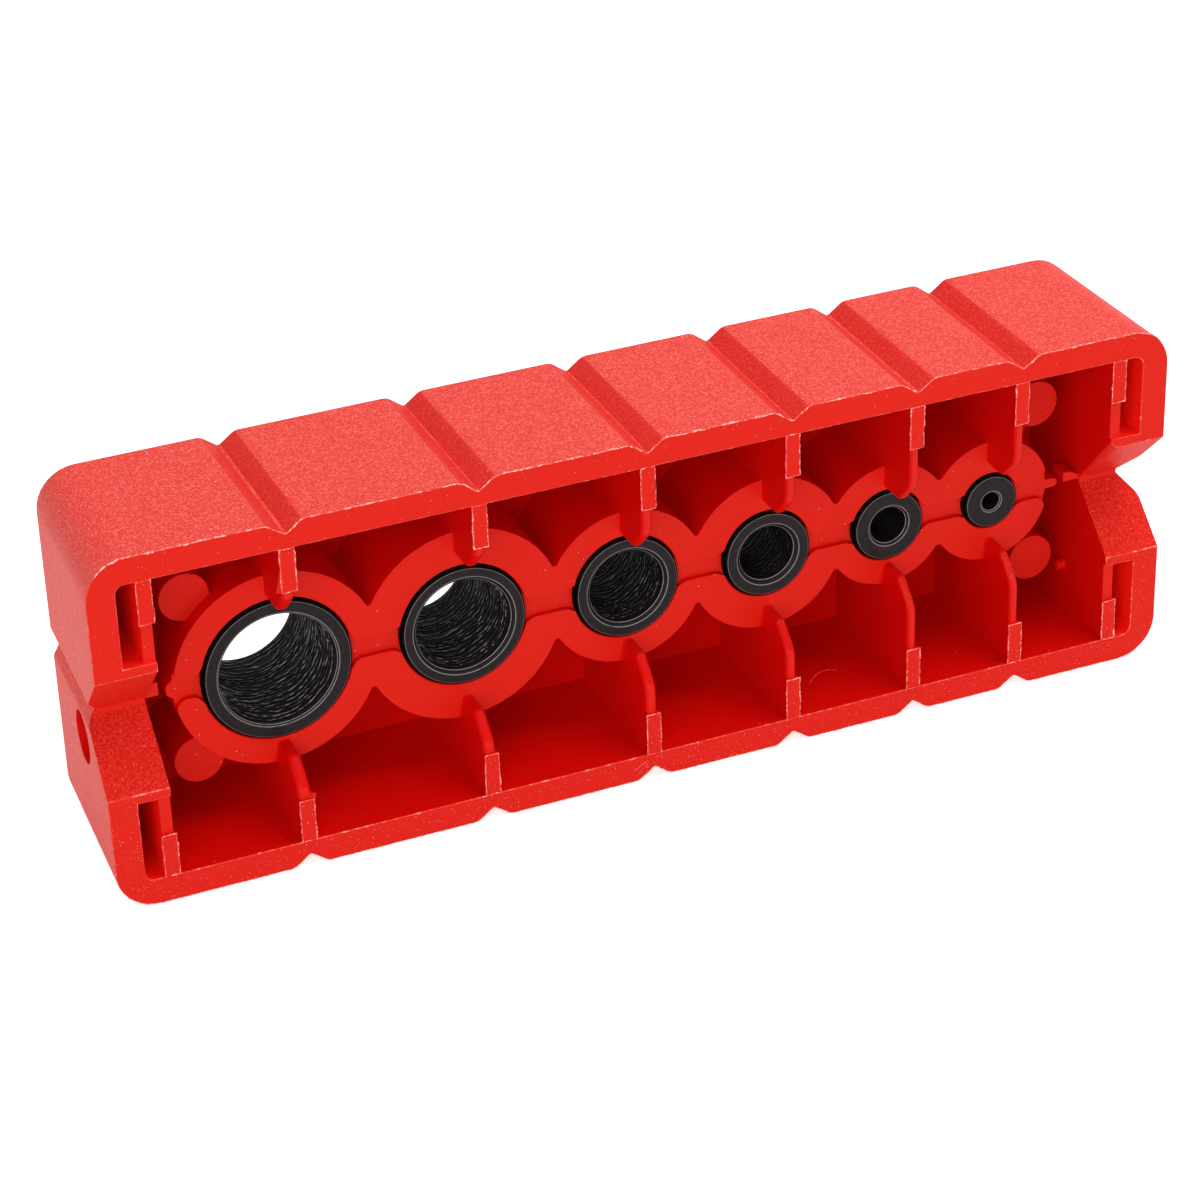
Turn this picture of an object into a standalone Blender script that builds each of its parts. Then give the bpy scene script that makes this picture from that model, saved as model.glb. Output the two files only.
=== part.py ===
"""Handheld drill guide: one moulded body that carries a row of six turned steel bushes.

The guide stands on a long side. X runs along the row of bushes, the largest first, Y runs from the
open ribbed side to the flat back, and Z is up. The origin is on the floor, under the middle.
"""

import math

import bmesh
import bpy
from mathutils import Matrix, Vector

# Outside of the moulded body
BODY_HEIGHT = 0.0380
BODY_DEPTH = 0.0204
CORNER_RADIUS = 0.0042
BACK_EDGE_ROUNDING = 0.0006

# How far the two end faces draw in towards the back, left then right
END_DRAFTS = (0.0010, 0.0004)

# Walls and ribs of the moulded body
LONG_WALL = 0.0028
END_WALL = 0.0029
BACK_WALL = 0.0036
INNER_WALL = 0.0012
RIB_THICKNESSES = (0.0014, 0.0013, 0.0012, 0.0011, 0.0010, 0.0010)

# Bushes, from the left end to the right end
BORE_DIAMETERS = (0.0120, 0.0100, 0.0080, 0.0060, 0.0040, 0.0020)
BUSH_WALLS = (0.00135, 0.00130, 0.00135, 0.00150, 0.00170, 0.00180)
BUSH_LANDS = (0.00560, 0.00580, 0.00565, 0.00550, 0.00535)
BUSH_EDGE_CHAMFER = 0.00025
BORE_FRONT_CHAMFERS = (0.00030, 0.00050, 0.00040, 0.00045, 0.00030, 0.00020)
BORE_LEAD_IN = 0.0008
BUSH_BACK_RECESS = 0.0002
BUSH_STAND_PROUD = 0.0003
SEAT_CLEARANCE = 0.0003
SEAT_MOUTH_CHAMFER = 0.0003

# Bosses round the bushes: two neighbours share one radius, taken from the larger bush of the pair
BOSS_WALL = 0.00315
RING_DEPTH = 0.0061
BOSSES_PER_SIZE = 2
BOSS_WEB_HALF_HEIGHT = 0.0022
BOSS_VALLEY_FILL = 0.0004
END_GAP_LEFT = 0.0028
END_GAP_RIGHT = 0.0037

# Recessed channel through the bush centres
CHANNEL_WIDTH = 0.0020
CHANNEL_DEPTH = 0.0006
CHANNEL_FLARE_RADIUS = 0.0012

# Nubs that end the channel, left then right: reach, width at the root, width at the tip
NUBS = ((0.0006, 0.0025, 0.0011), (0.0014, 0.0011, 0.0010))
NUB_TIP_ROUNDING = 0.45

# Stubs on the inner walls across from the nubs, left then right: reach, height, length of the top
STUBS = ((0.0014, 0.0015, 0.0014), (0.0018, 0.0011, 0.0008))
STUB_ROOT_HEIGHT = 0.0002
STUB_DEPTH = 0.0022

# Opposed ribs at the bushes: a gap between them with 45 degree flanks, and a pad at each root
RIB_GAP_CLEARANCE = 0.0001
RIB_FLANK_DEPTH = 0.0030
RIB_SETBACK = 0.00045
RIB_OUTER_ROUNDING = 0.0024
RIB_INNER_ROUNDING = 0.0012
PAD_WIDTH = 0.0015
PAD_LENGTH = 0.0046

# Right-angled notch across both ends, with a narrow flat at its bottom
NOTCH_DEPTH = 0.0061
NOTCH_FLAT = 0.0006
NOTCH_BRIDGE = 0.0010

# Slot-shaped pockets in the ends
POCKET_WIDTH = 0.0021
POCKET_ROUNDING = 0.0009

# Sighting grooves on the long sides at each bush, and one on the left and on the right end:
# half width, depth, rounding of the shoulders, rounding of the root
SIDE_GROOVE = (0.00175, 0.00130, 0.0013, 0.0003)
LEFT_GROOVE = (0.00150, 0.00090, 0.0010, 0.0004)
RIGHT_GROOVE = (0.00220, 0.00180, 0.0014, 0.0004)
LEFT_GROOVE_ABOVE_MIDDLE = 0.0004

# Round hole in the left end
END_HOLE_RADIUS = 0.0027
END_HOLE_DEPTH = 0.0026
END_HOLE_FROM_FRONT = 0.0090
END_HOLE_BELOW_MIDDLE = 0.0042

# Flat-ended posts beside the end bosses, the bars that tie them in, and a short pin
POST_RADIUS = 0.00255
POST_FROM_FRONT = 0.0078
POST_FROM_LONG_WALL = 0.0046
POST_FROM_LEFT_END = 0.0026
POST_FROM_RIGHT_END = 0.0020
POST_BAR_WIDTH = 0.0022
POST_BAR_SETBACK = 0.0008
PIN_RADIUS = 0.00062
PIN_LENGTH = 0.0009
PIN_FROM_FRONT = 0.0088
PIN_BELOW_MIDDLE = 0.0114

# Modelling values: how far cutters run past a face, how deep added forms root, and facet counts
CUT_MARGIN = 0.001
LAYER_OVERLAP = 0.0002
FLARE_OVERLAP = 0.0001
ROOT_DEPTH = 0.0005
MERGE_DISTANCE = 0.000001
FULL_TURN_STEPS = 48
HALF_TURN_STEPS = 24
BOSS_ARC_STEPS = 8
POST_STEPS = 24
PIN_STEPS = 12
CORNER_STEPS = 9
FLARE_STEPS = 4
FILLET_STEPS = 3
SHOULDER_STEPS = 4
RIB_CORNER_STEPS = 5
BACK_EDGE_STEPS = 2
SHARP_ANGLE = math.radians(35)

# Colours, roughness and metallic value of the two materials
BODY_LOOK = ((0.72, 0.018, 0.012), 0.45, 0.0)
BUSH_LOOK = ((0.020, 0.020, 0.022), 0.40, 0.8)

# Sizes that follow from the ones above
BUSH_RADII = [bore / 2 + wall for bore, wall in zip(BORE_DIAMETERS, BUSH_WALLS)]
PAIR_STARTS = [i - i % BOSSES_PER_SIZE for i in range(len(BUSH_RADII))]
PAIR_RADII = [max(BUSH_RADII[start:start + BOSSES_PER_SIZE]) for start in PAIR_STARTS]
BOSS_RADII = [radius + BOSS_WALL for radius in PAIR_RADII]
SEAT_RADII = [radius + SEAT_CLEARANCE for radius in BUSH_RADII]
RIB_GAPS = [
    radius + SEAT_CLEARANCE + SEAT_MOUTH_CHAMFER + RIB_GAP_CLEARANCE for radius in PAIR_RADII
]
LEFT_SPAN = END_WALL + POCKET_WIDTH + INNER_WALL + END_GAP_LEFT + BOSS_RADII[0]
RIGHT_SPAN = END_WALL + POCKET_WIDTH + INNER_WALL + END_GAP_RIGHT + BOSS_RADII[-1]
PITCHES = [
    BUSH_RADII[i] + land + BUSH_RADII[i + 1] for i, land in enumerate(BUSH_LANDS)
]
BODY_LENGTH = LEFT_SPAN + sum(PITCHES) + RIGHT_SPAN
LEFT_END = -BODY_LENGTH / 2
RIGHT_END = BODY_LENGTH / 2
BUSH_X = [LEFT_END + LEFT_SPAN + sum(PITCHES[:i]) for i in range(len(BUSH_RADII))]
FRONT = -BODY_DEPTH / 2
BACK = BODY_DEPTH / 2
MIDDLE = BODY_HEIGHT / 2
FLOOR = BACK - BACK_WALL
RING_FACE = FRONT + RING_DEPTH
CAVITY_HALF_HEIGHT = MIDDLE - LONG_WALL
PAD_END = CAVITY_HALF_HEIGHT - PAD_LENGTH
HALF_PAD = PAD_WIDTH / 2
HALF_RIBS = [thickness / 2 for thickness in RIB_THICKNESSES]
HALF_INNER_WALL = INNER_WALL / 2
LEFT_CAVITY_FACE = LEFT_END + END_WALL + POCKET_WIDTH + INNER_WALL
RIGHT_CAVITY_FACE = RIGHT_END - END_WALL - POCKET_WIDTH - INNER_WALL
NOTCH_HALF_WIDTH = NOTCH_DEPTH + NOTCH_FLAT / 2

# The outline's own X and Y become world X and Z, and its thickness runs along Y
FACING_FRONT = Matrix(((1, 0, 0, 0), (0, 0, -1, 0), (0, 1, 0, 0), (0, 0, 0, 1)))
# The outline's own X and Y become world Y and Z, and its thickness runs along X
FACING_END = Matrix(((0, 0, 1, 0), (1, 0, 0, 0), (0, 1, 0, 0), (0, 0, 0, 1)))


def clear_scene():
    for obj in list(bpy.data.objects):
        bpy.data.objects.remove(obj, do_unlink=True)


def new_collection(name):
    collection = bpy.data.collections.new(name)
    bpy.context.scene.collection.children.link(collection)
    return collection


def make_material(name, look):
    colour, roughness, metallic = look
    material = bpy.data.materials.new(name)
    material.use_nodes = True
    shader = material.node_tree.nodes["Principled BSDF"]
    shader.inputs["Base Color"].default_value = (*colour, 1.0)
    shader.inputs["Roughness"].default_value = roughness
    shader.inputs["Metallic"].default_value = metallic
    return material


def as_helper(obj):
    """Marks a form that only shapes another one."""
    obj.hide_render = True
    obj.display_type = "WIRE"


def arc(centre, radius, start, end, steps):
    """Points on an arc about centre, from the start angle to the end angle, both included."""
    angles = [start + (end - start) * i / steps for i in range(steps + 1)]
    return [(centre[0] + radius * math.cos(a), centre[1] + radius * math.sin(a)) for a in angles]


def rounded_outline(corners):
    """Outline through corners given as (x, y, radius, steps), each rounded where its radius isn't 0."""
    points = []
    for i, (x, y, radius, steps) in enumerate(corners):
        corner = Vector((x, y))
        if radius == 0:
            points.append((x, y))
            continue
        before = (Vector(corners[i - 1][:2]) - corner).normalized()
        after = (Vector(corners[(i + 1) % len(corners)][:2]) - corner).normalized()
        half_angle = before.angle(after) / 2
        centre = corner + (before + after).normalized() * (radius / math.sin(half_angle))
        start = corner + before * (radius / math.tan(half_angle)) - centre
        end = corner + after * (radius / math.tan(half_angle)) - centre
        start_angle = math.atan2(start.y, start.x)
        turn = math.atan2(start.cross(end), start.dot(end))
        points.extend(arc(centre, radius, start_angle, start_angle + turn, steps))
    return points


def plain(points):
    """Corners without rounding."""
    return [(x, y, 0, 0) for x, y in points]


def prism(name, outline, facing, start, end, collection):
    """Solid with the given outline, from start to end along the world axis that facing leaves."""
    curve = bpy.data.curves.new(name, "CURVE")
    curve.dimensions = "2D"
    curve.fill_mode = "BOTH"
    curve.extrude = (end - start) / 2
    spline = curve.splines.new("POLY")
    spline.points.add(len(outline) - 1)
    spline.use_cyclic_u = True
    for point, (x, y) in zip(spline.points, outline):
        point.co = (x, y, 0, 1)
    drawn = bpy.data.objects.new(name, curve)
    collection.objects.link(drawn)
    evaluated = drawn.evaluated_get(bpy.context.evaluated_depsgraph_get())
    mesh = bpy.data.meshes.new_from_object(evaluated)
    bpy.data.objects.remove(drawn, do_unlink=True)
    bpy.data.curves.remove(curve)
    mesh.name = name
    mesh.transform(facing)
    depth_axis = 1 if facing == FACING_FRONT else 0
    for vertex in mesh.vertices:
        vertex.co[depth_axis] = start if vertex.co[depth_axis] < 0 else end
    solid = bmesh.new()
    solid.from_mesh(mesh)
    bmesh.ops.remove_doubles(solid, verts=solid.verts, dist=MERGE_DISTANCE)
    bmesh.ops.recalc_face_normals(solid, faces=solid.faces)
    solid.to_mesh(mesh)
    solid.free()
    mesh.shade_smooth()
    mesh.set_sharp_from_angle(angle=SHARP_ANGLE)
    obj = bpy.data.objects.new(name, mesh)
    collection.objects.link(obj)
    return obj


def turned(name, profile, x, collection):
    """Form turned about a line along Y at height MIDDLE, from (radius, world Y) points.

    The profile starts at the front and runs down its outer side to the back.
    """
    mesh = bpy.data.meshes.new(name)
    points = [(radius, 0, -y) for radius, y in profile]
    closed = profile[0][0] > 0
    edges = [(i, i + 1) for i in range(len(points) - 1)]
    if closed:
        edges.append((len(points) - 1, 0))
    mesh.from_pydata(points, edges, [])
    obj = bpy.data.objects.new(name, mesh)
    obj.rotation_euler = (math.pi / 2, 0, 0)
    obj.location = (x, 0, MIDDLE)
    collection.objects.link(obj)
    screw = obj.modifiers.new("Turn", "SCREW")
    screw.axis = "Z"
    screw.angle = math.tau
    screw.steps = FULL_TURN_STEPS
    screw.render_steps = FULL_TURN_STEPS
    screw.use_merge_vertices = True
    screw.merge_threshold = MERGE_DISTANCE
    screw.use_smooth_shade = True
    return obj


def rod(name, radius, start, end, collection, steps):
    """Cylinder between two points."""
    start = Vector(start)
    end = Vector(end)
    turn = (end - start).to_track_quat("Z", "Y").to_euler()
    bpy.ops.mesh.primitive_cylinder_add(
        vertices=steps, radius=radius, depth=(end - start).length,
        location=(start + end) / 2, rotation=turn,
    )
    obj = bpy.context.object
    obj.name = name
    obj.data.name = name
    obj.data.shade_smooth()
    obj.data.set_sharp_from_angle(angle=SHARP_ANGLE)
    for owner in list(obj.users_collection):
        owner.objects.unlink(obj)
    collection.objects.link(obj)
    return obj


def combine(target, name, operation, collection):
    """Boolean of the target with every form in a collection."""
    modifier = target.modifiers.new(name, "BOOLEAN")
    modifier.operation = operation
    modifier.operand_type = "COLLECTION"
    modifier.collection = collection
    modifier.solver = "EXACT"
    modifier.use_self = False


def body_outline():
    """Outer outline: rounded corners, a groove at each bush on both long sides, one on each end."""
    def groove(x, y, along, inward, sizes):
        half_width, depth, shoulder_rounding, root_rounding = sizes
        shoulder = Vector(along) * half_width
        root = Vector(inward) * depth
        return [
            (x - shoulder.x, y - shoulder.y, shoulder_rounding, SHOULDER_STEPS),
            (x + root.x, y + root.y, root_rounding, FILLET_STEPS),
            (x + shoulder.x, y + shoulder.y, shoulder_rounding, SHOULDER_STEPS),
        ]

    corner = (CORNER_RADIUS, CORNER_STEPS)
    corners = [(LEFT_END, 0, *corner)]
    for x in BUSH_X:
        corners.extend(groove(x, 0, (1, 0), (0, 1), SIDE_GROOVE))
    corners.append((RIGHT_END, 0, *corner))
    corners.extend(groove(RIGHT_END, MIDDLE, (0, 1), (-1, 0), RIGHT_GROOVE))
    corners.append((RIGHT_END, BODY_HEIGHT, *corner))
    for x in reversed(BUSH_X):
        corners.extend(groove(x, BODY_HEIGHT, (-1, 0), (0, -1), SIDE_GROOVE))
    corners.append((LEFT_END, BODY_HEIGHT, *corner))
    left_height = MIDDLE + LEFT_GROOVE_ABOVE_MIDDLE
    corners.extend(groove(LEFT_END, left_height, (0, -1), (1, 0), LEFT_GROOVE))
    return rounded_outline(corners)


def draft_ends(obj):
    """Draws the back edge of both end faces, corners included, in towards the middle."""
    corner_start = RIGHT_END - CORNER_RADIUS - MERGE_DISTANCE
    left_draft, right_draft = END_DRAFTS
    for vertex in obj.data.vertices:
        if vertex.co.y > 0 and vertex.co.x < -corner_start:
            vertex.co.x += left_draft
        elif vertex.co.y > 0 and vertex.co.x > corner_start:
            vertex.co.x -= right_draft


def finish_blank(obj):
    """Rounds the edge all round the back face, and parts the long faces between the bushes."""
    solid = bmesh.new()
    solid.from_mesh(obj.data)
    front = min(vertex.co.y for vertex in solid.verts)
    back = max(vertex.co.y for vertex in solid.verts)
    for level in (front, back):
        cap = [face for face in solid.faces if all(v.co.y == level for v in face.verts)]
        bmesh.ops.dissolve_faces(solid, faces=cap)
    rim = [edge for edge in solid.edges if all(v.co.y == back for v in edge.verts)]
    bmesh.ops.bevel(
        solid, geom=rim, offset=BACK_EDGE_ROUNDING, segments=BACK_EDGE_STEPS, profile=0.5, affect="EDGES",
        clamp_overlap=True, material=-1,
    )
    for left, right in zip(BUSH_X, BUSH_X[1:]):
        whole = [*solid.verts, *solid.edges, *solid.faces]
        between = ((left + right) / 2, 0, 0)
        bmesh.ops.bisect_plane(
            solid, geom=whole, dist=MERGE_DISTANCE, plane_co=between, plane_no=(1, 0, 0),
        )
    solid.to_mesh(obj.data)
    solid.free()


def boss_web_height(i):
    """Half height of the boss row where boss i meets the next: their filled cusp, or the web."""
    span = BUSH_X[i + 1] - BUSH_X[i]
    to_cusp = (span ** 2 + BOSS_RADII[i] ** 2 - BOSS_RADII[i + 1] ** 2) / (2 * span)
    if abs(to_cusp) >= BOSS_RADII[i]:
        return BOSS_WEB_HALF_HEIGHT
    cusp = math.sqrt(BOSS_RADII[i] ** 2 - to_cusp ** 2)
    return max(BOSS_WEB_HALF_HEIGHT, cusp + BOSS_VALLEY_FILL)


def bay_outline(i, side):
    """Deep cavity between ribs i and i + 1, above the boss row for side 1 and below it for side -1."""
    left = BUSH_X[i]
    right = BUSH_X[i + 1]
    web = boss_web_height(i)
    on_right_rib = math.pi - math.acos(HALF_RIBS[i + 1] / BOSS_RADII[i + 1])
    at_right_web = math.pi - math.asin(web / BOSS_RADII[i + 1])
    at_left_web = math.asin(web / BOSS_RADII[i])
    on_left_rib = math.acos(HALF_RIBS[i] / BOSS_RADII[i])
    points = [
        (left + HALF_RIBS[i], CAVITY_HALF_HEIGHT), (right - HALF_RIBS[i + 1], CAVITY_HALF_HEIGHT),
    ]
    points += arc((right, 0), BOSS_RADII[i + 1], on_right_rib, at_right_web, BOSS_ARC_STEPS)
    left_arc = arc((left, 0), BOSS_RADII[i], at_left_web, on_left_rib, BOSS_ARC_STEPS)
    if (Vector(points[-1]) - Vector(left_arc[0])).length < MERGE_DISTANCE:
        left_arc = left_arc[1:]
    points += left_arc
    return [(x, MIDDLE + side * z) for x, z in points]


def end_bay_outline(i, cavity_face, side):
    """Deep cavity round end boss i, from its lower rib to its upper rib. Side -1 is the left end."""
    on_rib = math.acos(HALF_RIBS[i] / BOSS_RADII[i])
    turn = arc((0, 0), BOSS_RADII[i], -on_rib, on_rib, HALF_TURN_STEPS)
    rib_face = BUSH_X[i] + side * HALF_RIBS[i]
    points = [
        (rib_face, CAVITY_HALF_HEIGHT), (cavity_face, CAVITY_HALF_HEIGHT),
        (cavity_face, -CAVITY_HALF_HEIGHT), (rib_face, -CAVITY_HALF_HEIGHT),
    ]
    points += [(BUSH_X[i] + side * x, z) for x, z in turn]
    return [(x, MIDDLE + z) for x, z in points]


def mouth_outline(left_rib, right_rib):
    """Space between two ribs, each an (x, half thickness) pair, notched where their pads stand."""
    top = CAVITY_HALF_HEIGHT
    left_x, left_half = left_rib
    right_x, right_half = right_rib
    left, left_pad = left_x + left_half, left_x + HALF_PAD
    right, right_pad = right_x - right_half, right_x - HALF_PAD
    points = [
        (left_pad, -top), (right_pad, -top), (right_pad, -PAD_END), (right, -PAD_END),
        (right, PAD_END), (right_pad, PAD_END), (right_pad, top), (left_pad, top),
        (left_pad, PAD_END), (left, PAD_END), (left, -PAD_END), (left_pad, -PAD_END),
    ]
    return [(x, MIDDLE + z) for x, z in points]


def cut_cavities(cutters):
    """Bays between the ribs, in three layers: between the pads, down to the rings, and the deep part."""
    left_wall = (LEFT_CAVITY_FACE - HALF_INNER_WALL, HALF_INNER_WALL)
    right_wall = (RIGHT_CAVITY_FACE + HALF_INNER_WALL, HALF_INNER_WALL)
    ribs = [left_wall, *zip(BUSH_X, HALF_RIBS), right_wall]
    for i in range(len(ribs) - 1):
        left = ribs[i][0] + ribs[i][1]
        right = ribs[i + 1][0] - ribs[i + 1][1]
        mouth = mouth_outline(ribs[i], ribs[i + 1])
        pad_layer_end = FRONT + RIB_SETBACK + LAYER_OVERLAP
        prism(f"mouth_{i}", mouth, FACING_FRONT, FRONT - CUT_MARGIN, pad_layer_end, cutters)
        low = MIDDLE - CAVITY_HALF_HEIGHT
        high = MIDDLE + CAVITY_HALF_HEIGHT
        bay = [(left, low), (right, low), (right, high), (left, high)]
        prism(f"bay_{i}", bay, FACING_FRONT, FRONT + RIB_SETBACK, RING_FACE, cutters)
    deep_start = RING_FACE - LAYER_OVERLAP
    for i in range(len(BUSH_X) - 1):
        for side, word in ((1, "upper"), (-1, "lower")):
            name = f"deep_bay_{word}_{i}"
            prism(name, bay_outline(i, side), FACING_FRONT, deep_start, FLOOR, cutters)
    left_bay = end_bay_outline(0, LEFT_CAVITY_FACE, -1)
    right_bay = end_bay_outline(len(BUSH_X) - 1, RIGHT_CAVITY_FACE, 1)
    prism("deep_bay_left_end", left_bay, FACING_FRONT, deep_start, FLOOR, cutters)
    prism("deep_bay_right_end", right_bay, FACING_FRONT, deep_start, FLOOR, cutters)


def cut_rib_gaps(cutters):
    """Gap between the upper and the lower rib of each bush, with flanks that lead a round bar in."""
    for i, (x, gap) in enumerate(zip(BUSH_X, RIB_GAPS)):
        flank_top = min(gap + RIB_FLANK_DEPTH - RIB_SETBACK, PAD_END - RIB_SETBACK)
        outer_rounding = min(RIB_OUTER_ROUNDING, 2 * (PAD_END - flank_top))
        half = [
            (FRONT - CUT_MARGIN, PAD_END, 0, 0),
            (FRONT + RIB_SETBACK, PAD_END, 0, 0),
            (FRONT + RIB_SETBACK, flank_top, outer_rounding, RIB_CORNER_STEPS),
            (FRONT + RIB_FLANK_DEPTH, gap, RIB_INNER_ROUNDING, RIB_CORNER_STEPS),
            (RING_FACE, gap, 0, 0),
        ]
        upper = [(y, MIDDLE + z, *rest) for y, z, *rest in half]
        lower = [(y, MIDDLE - z, *rest) for y, z, *rest in reversed(half)]
        reach = HALF_PAD + LAYER_OVERLAP
        outline = rounded_outline(upper + lower)
        prism(f"rib_gap_{i}", outline, FACING_END, x - reach, x + reach, cutters)


def cut_ends(cutters):
    """Notch, pockets and the set-back edge of the inner wall at both ends."""
    notch = plain([
        (FRONT - CUT_MARGIN, MIDDLE - NOTCH_HALF_WIDTH - CUT_MARGIN),
        (FRONT + NOTCH_DEPTH, MIDDLE - NOTCH_FLAT / 2),
        (FRONT + NOTCH_DEPTH, MIDDLE + NOTCH_FLAT / 2),
        (FRONT - CUT_MARGIN, MIDDLE + NOTCH_HALF_WIDTH + CUT_MARGIN),
    ])
    ends = (("left", LEFT_END, LEFT_CAVITY_FACE, 1), ("right", RIGHT_END, RIGHT_CAVITY_FACE, -1))
    for word, end, cavity_face, inward in ends:
        start, stop = sorted((end - inward * CUT_MARGIN, cavity_face + inward * LAYER_OVERLAP))
        prism(f"notch_{word}", rounded_outline(notch), FACING_END, start, stop, cutters)
        outer = end + inward * END_WALL
        inner = cavity_face - inward * INNER_WALL
        pad_face = inner - inward * (HALF_PAD - HALF_INNER_WALL)
        bridge = NOTCH_HALF_WIDTH + NOTCH_BRIDGE
        for side, half in ((1, "upper"), (-1, "lower")):
            rounding = (POCKET_ROUNDING, FILLET_STEPS)
            mouth = rounded_outline([
                (outer, MIDDLE + side * CAVITY_HALF_HEIGHT, *rounding),
                (outer, MIDDLE + side * bridge, 0, 0),
                (inner, MIDDLE + side * bridge, 0, 0),
                (inner, MIDDLE + side * PAD_END, 0, 0),
                (pad_face, MIDDLE + side * PAD_END, 0, 0),
                (pad_face, MIDDLE + side * CAVITY_HALF_HEIGHT, 0, 0),
            ])
            deep = rounded_outline([
                (outer, MIDDLE + side * CAVITY_HALF_HEIGHT, *rounding),
                (outer, MIDDLE + side * bridge, 0, 0),
                (inner, MIDDLE + side * bridge, 0, 0),
                (inner, MIDDLE + side * CAVITY_HALF_HEIGHT, 0, 0),
            ])
            mouth_end = FRONT + RIB_SETBACK + LAYER_OVERLAP
            name = f"pocket_{half}_{word}"
            prism(f"{name}_mouth", mouth, FACING_FRONT, FRONT - CUT_MARGIN, mouth_end, cutters)
            prism(name, deep, FACING_FRONT, FRONT + RIB_SETBACK, FLOOR, cutters)
            left, right = sorted((inner - inward * LAYER_OVERLAP, cavity_face + inward * LAYER_OVERLAP))
            low, high = sorted((MIDDLE + side * bridge, MIDDLE + side * PAD_END))
            step = [(left, low), (right, low), (right, high), (left, high)]
            name = f"wall_step_{half}_{word}"
            prism(name, step, FACING_FRONT, FRONT - CUT_MARGIN, FRONT + RIB_SETBACK, cutters)


def add_details(forms):
    """Posts and their bars, the nubs, the stubs and the pin, all rooted in the body."""
    root = FLOOR + ROOT_DEPTH
    post_z = CAVITY_HALF_HEIGHT - POST_FROM_LONG_WALL - POST_RADIUS
    left_post = LEFT_CAVITY_FACE + POST_FROM_LEFT_END + POST_RADIUS
    right_post = RIGHT_CAVITY_FACE - POST_FROM_RIGHT_END - POST_RADIUS
    posts = (("left", left_post, BUSH_X[0]), ("right", right_post, BUSH_X[-1]))
    for word, x, bush_x in posts:
        for side, half in ((1, "upper"), (-1, "lower")):
            start = (x, FRONT + POST_FROM_FRONT, MIDDLE + side * post_z)
            end = (x, root, MIDDLE + side * post_z)
            rod(f"post_{half}_{word}", POST_RADIUS, start, end, forms, POST_STEPS)
            reach = Vector((x - bush_x, side * post_z))
            across = reach.normalized().orthogonal() * (POST_BAR_WIDTH / 2)
            corners = (-across, reach - across, reach + across, across)
            outline = [(bush_x + corner.x, MIDDLE + corner.y) for corner in corners]
            front = FRONT + POST_FROM_FRONT + POST_BAR_SETBACK
            prism(f"post_bar_{half}_{word}", outline, FACING_FRONT, front, root, forms)
    nub_places = (("left", BUSH_X[0], BOSS_RADII[0], -1), ("right", BUSH_X[-1], BOSS_RADII[-1], 1))
    for (word, x, radius, side), (nub_reach, root_width, tip_width) in zip(nub_places, NUBS):
        base = x + side * (radius - ROOT_DEPTH)
        tip = x + side * (radius + nub_reach)
        rounding = (tip_width * NUB_TIP_ROUNDING, FILLET_STEPS)
        outline = rounded_outline([
            (base, MIDDLE - root_width / 2, 0, 0),
            (tip, MIDDLE - tip_width / 2, *rounding),
            (tip, MIDDLE + tip_width / 2, *rounding),
            (base, MIDDLE + root_width / 2, 0, 0),
        ])
        prism(f"nub_{word}", outline, FACING_FRONT, RING_FACE + CHANNEL_DEPTH / 2, root, forms)
    stub_front = FRONT + NOTCH_DEPTH + LAYER_OVERLAP
    stub_places = (("left", LEFT_CAVITY_FACE, 1), ("right", RIGHT_CAVITY_FACE, -1))
    for (word, wall, inward), (stub_reach, height, top) in zip(stub_places, STUBS):
        tip = wall + inward * stub_reach
        stub_root = wall - inward * HALF_INNER_WALL
        stub = [
            (tip, MIDDLE), (stub_root, MIDDLE), (stub_root, MIDDLE + STUB_ROOT_HEIGHT),
            (tip - inward * top, MIDDLE + height), (tip, MIDDLE + height),
        ]
        prism(f"stub_{word}", stub, FACING_FRONT, stub_front, stub_front + STUB_DEPTH, forms)
    pin_y = FRONT + PIN_FROM_FRONT
    pin_z = MIDDLE - PIN_BELOW_MIDDLE
    start = (RIGHT_CAVITY_FACE - PIN_LENGTH, pin_y, pin_z)
    end = (RIGHT_CAVITY_FACE + HALF_INNER_WALL, pin_y, pin_z)
    rod("pin", PIN_RADIUS, start, end, forms, PIN_STEPS)


def flare_radius(i):
    """Rounding of the channel's corners at boss i, which has to hold two of them side by side."""
    land = BOSS_RADII[i] - SEAT_RADII[i] - SEAT_MOUTH_CHAMFER
    return min(CHANNEL_FLARE_RADIUS, land / 2)


def seat_flare(i, side):
    """Channel edge from inside the seat of bush i outward, as (x, height above the middle)."""
    mouth = SEAT_RADII[i] + SEAT_MOUTH_CHAMFER
    radius = flare_radius(i)
    centre_z = CHANNEL_WIDTH / 2 + radius
    reach = mouth + radius - FLARE_OVERLAP
    centre_x = math.sqrt(reach ** 2 - centre_z ** 2)
    to_seat = math.atan2(-centre_z, -centre_x)
    turn = arc((centre_x, centre_z), radius, to_seat, -math.pi / 2, FLARE_STEPS)
    points = [(SEAT_RADII[i] / 2, turn[0][1]), *turn]
    return [(BUSH_X[i] + side * x, z) for x, z in points]


def rim_flare(i, side, end):
    """Channel edge on towards the rim of end boss i and past it, to the x value end."""
    radius = flare_radius(i)
    centre_z = CHANNEL_WIDTH / 2 + radius
    reach = BOSS_RADII[i] - radius + FLARE_OVERLAP
    centre_x = math.sqrt(reach ** 2 - centre_z ** 2)
    to_rim = math.atan2(centre_z, centre_x)
    turn = arc((centre_x, centre_z), radius, -math.pi / 2, to_rim, FLARE_STEPS)
    points = [(BUSH_X[i] + side * x, z) for x, z in turn]
    return [*points, (end, points[-1][1])]


def mirrored(edge):
    """Closed outline about the middle height, from its upper edge."""
    return [(x, MIDDLE + z) for x, z in edge] + [(x, MIDDLE - z) for x, z in reversed(edge)]


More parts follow.
